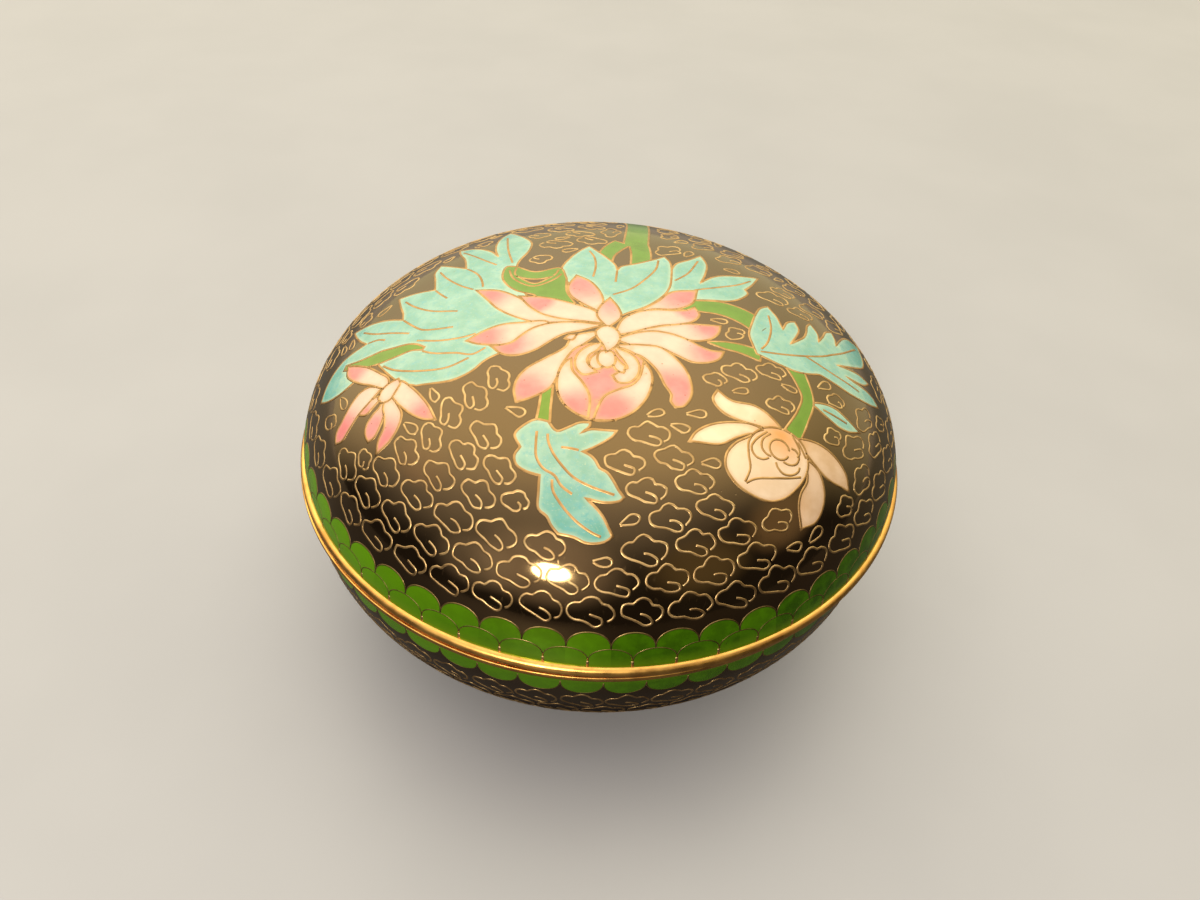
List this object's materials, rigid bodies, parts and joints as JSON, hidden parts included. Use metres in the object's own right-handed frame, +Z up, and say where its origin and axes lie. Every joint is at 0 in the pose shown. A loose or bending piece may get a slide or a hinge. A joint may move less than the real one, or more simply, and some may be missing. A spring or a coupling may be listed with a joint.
{
  "type": "cloisonne enamel box",
  "caption": "Round cloisonne enamel box with a lift-off domed lid, chrysanthemums and clouds on black enamel, gilt rims and a foot ring.",
  "frame": {"origin": "on the ground under the middle of the box, at the bottom centre of its bounding box", "axes": "+Z up through the crown of the lid; -Y is the front, towards the viewer, where the lid's clouds stand upright; +X is to the right"},
  "size_m": [0.1, 0.1, 0.0564],
  "materials": {
    "black_enamel": "gloss, fired and polished",
    "turquoise_enamel": "gloss, fired and polished, cloudy, for the leaves and the inside",
    "green_enamel": "gloss, fired and polished, for the scales and the stems",
    "petal_enamel": "gloss, fired and polished, cream shading to pink",
    "gilt_brass": "polished gilt, a little worn"
  },
  "bodies": {
    "root": {"enamelled_lid": "black_enamel", "enamelled_bowl": "black_enamel", "lid_rim": "gilt_brass", "bowl_rim": "gilt_brass", "foot_ring": "gilt_brass"}
  },
  "joints": []
}
